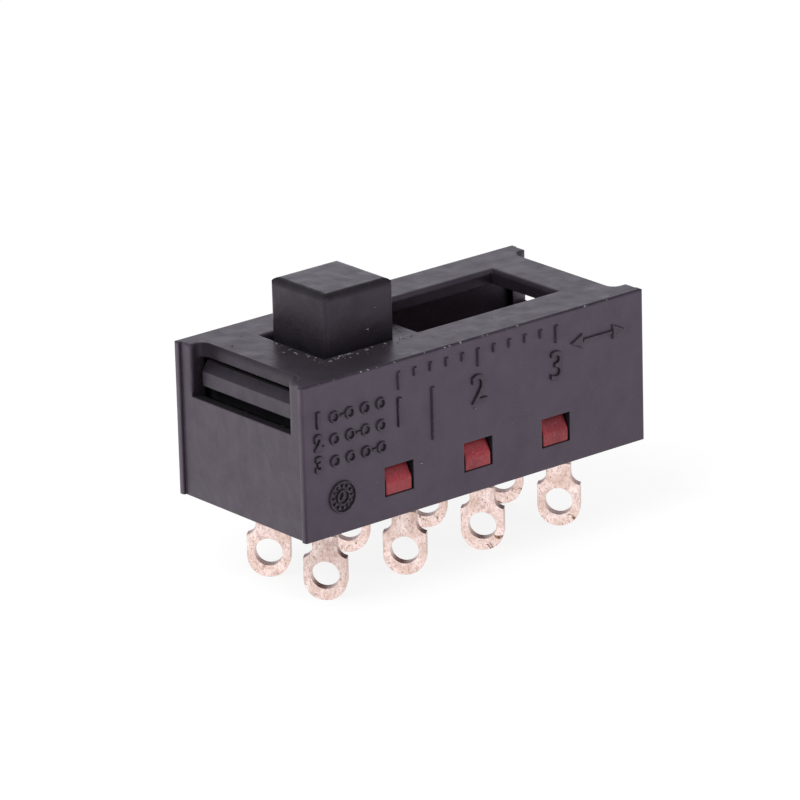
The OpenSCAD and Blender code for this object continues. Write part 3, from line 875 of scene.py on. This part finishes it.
def top_places(rng):
    """Most crumbs lie where the knob rubs, thickest by its front corner, and a few all over the top."""
    yield from before_slot(rng, 30, lambda: rng.uniform(BY_SLOT_LEFT, BY_KNOB_RIGHT), spread=0.35)
    yield from before_slot(rng, 16, lambda: BY_SLOT_LEFT + rng.gauss(0.2, 1.0) * MM, spread=0.5)
    yield from left_of_slot(rng, 14, spread=0.35)
    yield from before_slot(rng, 10, lambda: BY_KNOB_RIGHT + rng.gauss(0, 0.3) * MM, spread=0.2)
    yield from strewn(rng, 14, *FRONT_STRIP)
    yield from strewn(rng, 8, *LEFT_END)


def wall_places(rng):
    """Burrs along the front wall's upper edge, and a few specks on the wall."""
    for _ in range(BURRS):
        yield Vector((rng.uniform(*WALL_X) * MM, FRONT + BURR_IN, TOP - BURR_IN))
    for _ in range(WALL_SPECKS):
        x = rng.uniform(*WALL_X) * MM
        yield Vector((x, FRONT, RIM + rng.uniform(*WALL_Z) * MM))


def knob_places(rng):
    """A few specks on the knob's front face."""
    for _ in range(KNOB_SPECKS):
        x = STOPS[0] + rng.uniform(*KNOB_X) * MM
        yield Vector((x, KNOB_FRONT, SLIDER_HIGH.z - rng.uniform(*KNOB_Z) * MM))


make_crumbs("top_crumbs", top_places, seed=7, body="switch_body")
make_crumbs("wall_crumbs", wall_places, seed=11, body="switch_body")
make_crumbs("knob_crumbs", knob_places, seed=5, body="slider")


# ---- Floor and sky ----

FLOOR_SPAN = 3.0
PAPER = (0.88, 0.88, 0.88)
SHADOW_DEPTH = 0.15               # the share of the seen floor's brightness that shadows can take
FLOOR_LIT = 0.9                   # how bright the lamps make a white floor where nothing shades it
# Grades of the floor's mirrored brightness, a painted reflection: from one place to another, from one
# level to another
GLARE_ACROSS = (-60 * MM, 40 * MM, 1.85, 1.45)
GLARE_AHEAD = (-60 * MM, -25 * MM, 1.3, 0.95)
SHADOW_PLACE = (-29 * MM, -23 * MM, 0)           # the middle of a painted shadow, off the near corner, in the floor's reflection
SHADOW_PATCH = (6 * MM, 26 * MM, 0.3, 1.0)
SKY = (1.0, 0.99, 1.0)
SKY_LEVEL = 0.55
SKY_TINT = (1.0, 0.99, 1.08)
SKY_GLARE = ((0.0, 1.0), (0.33, 0.98), (0.6, 0.42), (1.0, 0.2))    # heights and mirrored brightness
SKY_SEEN = (0.8, 0.8, 0.8)        # what the camera sees past the floor


def ray_mix(tree, lit, mirrored, pale):
    """Mixes shaders: lit for diffuse rays, mirrored for glossy ones, pale for camera and glass rays."""
    path = tree.nodes.new("ShaderNodeLightPath")
    seen = tree.nodes.new("ShaderNodeMath")
    seen.operation = "MAXIMUM"
    tree.links.new(path.outputs["Is Camera Ray"], seen.inputs[0])
    tree.links.new(path.outputs["Is Transmission Ray"], seen.inputs[1])
    first = tree.nodes.new("ShaderNodeMixShader")
    tree.links.new(path.outputs["Is Glossy Ray"], first.inputs[0])
    tree.links.new(lit.outputs[0], first.inputs[1])
    tree.links.new(mirrored.outputs[0], first.inputs[2])
    last = tree.nodes.new("ShaderNodeMixShader")
    tree.links.new(seen.outputs[0], last.inputs[0])
    tree.links.new(first.outputs[0], last.inputs[1])
    tree.links.new(pale.outputs[0], last.inputs[2])
    return last


def graded(tree, value, grade):
    """Maps a value along a grade (from low, from high, to low, to high), clamped."""
    node = tree.nodes.new("ShaderNodeMapRange")
    for key, number in zip(("From Min", "From Max", "To Min", "To Max"), grade):
        node.inputs[key].default_value = number
    tree.links.new(value, node.inputs["Value"])
    return node.outputs["Result"]


def diffuse(tree, colour):
    node = tree.nodes.new("ShaderNodeBsdfDiffuse")
    node.inputs["Color"].default_value = (*colour, 1)
    return node


def floor_glare(tree):
    """What mirrored rays see of the floor, a painted reflection: brighter on the left and far in front,
    with a painted shadow off the near corner.
    """
    place = tree.nodes.new("ShaderNodeTexCoord")
    split = tree.nodes.new("ShaderNodeSeparateXYZ")
    apart = tree.nodes.new("ShaderNodeVectorMath")
    apart.operation = "DISTANCE"
    apart.inputs[1].default_value = SHADOW_PLACE
    tree.links.new(place.outputs["Object"], split.inputs[0])
    tree.links.new(place.outputs["Object"], apart.inputs[0])
    strength = graded(tree, split.outputs["X"], GLARE_ACROSS)
    for value, grade in ((split.outputs["Y"], GLARE_AHEAD), (apart.outputs["Value"], SHADOW_PATCH)):
        product = tree.nodes.new("ShaderNodeMath")
        product.operation = "MULTIPLY"
        tree.links.new(strength, product.inputs[0])
        tree.links.new(graded(tree, value, grade), product.inputs[1])
        strength = product.outputs[0]
    mirrored = tree.nodes.new("ShaderNodeEmission")
    tree.links.new(strength, mirrored.inputs["Strength"])
    return mirrored


def floor_paper():
    """Pale paper that looks white to the camera, apart from the object's shadow."""
    material = bpy.data.materials.new("floor_paper")
    material.use_nodes = True
    tree = material.node_tree
    tree.nodes.clear()
    out = tree.nodes.new("ShaderNodeOutputMaterial")
    glow = tree.nodes.new("ShaderNodeEmission")
    glow.inputs["Strength"].default_value = 1 - SHADOW_DEPTH * FLOOR_LIT
    white = tree.nodes.new("ShaderNodeAddShader")
    tree.links.new(diffuse(tree, [SHADOW_DEPTH] * 3).outputs[0], white.inputs[0])
    tree.links.new(glow.outputs[0], white.inputs[1])
    mixed = ray_mix(tree, diffuse(tree, PAPER), floor_glare(tree), white)
    tree.links.new(mixed.outputs[0], out.inputs["Surface"])
    return material


def make_floor():
    bm = bmesh.new()
    bmesh.ops.create_grid(bm, x_segments=8, y_segments=8, size=FLOOR_SPAN / 2)
    mesh = bpy.data.meshes.new("floor")
    bm.to_mesh(mesh)
    bm.free()
    mesh.materials.append(floor_paper())
    floor = bpy.data.objects.new("floor", mesh)
    bpy.context.scene.collection.objects.link(floor)
    floor.location.z = cad_box[0][2]


def sky_glare(tree):
    """What mirrored rays see of the sky: bright near the floor and darker overhead."""
    direction = tree.nodes.new("ShaderNodeTexCoord")
    split = tree.nodes.new("ShaderNodeSeparateXYZ")
    ramp = tree.nodes.new("ShaderNodeValToRGB")
    tree.links.new(direction.outputs["Generated"], split.inputs[0])
    tree.links.new(split.outputs["Z"], ramp.inputs["Fac"])
    while len(ramp.color_ramp.elements) < len(SKY_GLARE):
        ramp.color_ramp.elements.new(0.5)
    for element, (height, shade) in zip(ramp.color_ramp.elements, SKY_GLARE):
        element.position = height
        element.color = (*(shade * part for part in SKY_TINT), 1)
    mirrored = tree.nodes.new("ShaderNodeBackground")
    tree.links.new(ramp.outputs["Color"], mirrored.inputs["Color"])
    return mirrored


def make_world():
    world = bpy.data.worlds.new("studio")
    world.use_nodes = True
    tree = world.node_tree
    tree.nodes.clear()
    out = tree.nodes.new("ShaderNodeOutputWorld")
    lit = tree.nodes.new("ShaderNodeBackground")
    lit.inputs["Color"].default_value = (*SKY, 1)
    lit.inputs["Strength"].default_value = SKY_LEVEL
    seen = tree.nodes.new("ShaderNodeBackground")
    seen.inputs["Color"].default_value = (*SKY_SEEN, 1)
    tree.links.new(ray_mix(tree, lit, sky_glare(tree), seen).outputs[0], out.inputs["Surface"])
    bpy.context.scene.world = world


# ---- Lamps ----

LAMP_AIM = (0, 0, 10 * MM)


def softbox(name, place, width, height, watts):
    """A large soft lamp that lights the object and isn't mirrored in it."""
    light = bpy.data.lights.new(name, "AREA")
    light.shape = "RECTANGLE"
    light.size = width
    light.size_y = height
    light.energy = watts
    lamp = bpy.data.objects.new(name, light)
    bpy.context.scene.collection.objects.link(lamp)
    lamp.location = place
    lamp.rotation_mode = "QUATERNION"
    lamp.rotation_quaternion = (Vector(place) - Vector(LAMP_AIM)).to_track_quat("Z", "Y")
    lamp.visible_glossy = False


# ---- Camera ----

CAMERA_AIM = Vector((-9.13, -9.65, 10.03)) * MM + Vector((0, 0, RIM))
CAMERA_DISTANCE = 468.9 * MM
CAMERA_AZIMUTH = math.radians(-39.25)
CAMERA_ELEVATION = math.radians(19.26)
CAMERA_ROLL = math.radians(-1.53)
CAMERA_LENS = 281.9
CAMERA_SENSOR = 36


def make_camera():
    a, e, r = CAMERA_AZIMUTH, CAMERA_ELEVATION, CAMERA_ROLL
    back = Vector((math.sin(a) * math.cos(e), -math.cos(a) * math.cos(e), math.sin(e)))
    level = (-back).cross(Vector((0, 0, 1))).normalized()
    rise = level.cross(-back)
    right = level * math.cos(r) + rise * math.sin(r)
    up = rise * math.cos(r) - level * math.sin(r)
    camera = bpy.data.objects.new("camera", bpy.data.cameras.new("camera"))
    bpy.context.scene.collection.objects.link(camera)
    camera.data.lens = CAMERA_LENS
    camera.data.sensor_width = CAMERA_SENSOR
    camera.data.clip_start = 0.01
    camera.data.clip_end = 20
    place = Matrix((right, up, back)).transposed().to_4x4()
    place.translation = CAMERA_AIM + back * CAMERA_DISTANCE
    camera.matrix_world = place
    bpy.context.scene.camera = camera


make_floor()
make_world()
softbox("key", place=(-0.5, -0.1, 0.62), width=0.5, height=0.5, watts=5.0)
softbox("fill", place=(0.35, -0.6, 0.35), width=0.5, height=0.4, watts=1.5)
make_camera()
bpy.context.scene.view_settings.view_transform = "Standard"
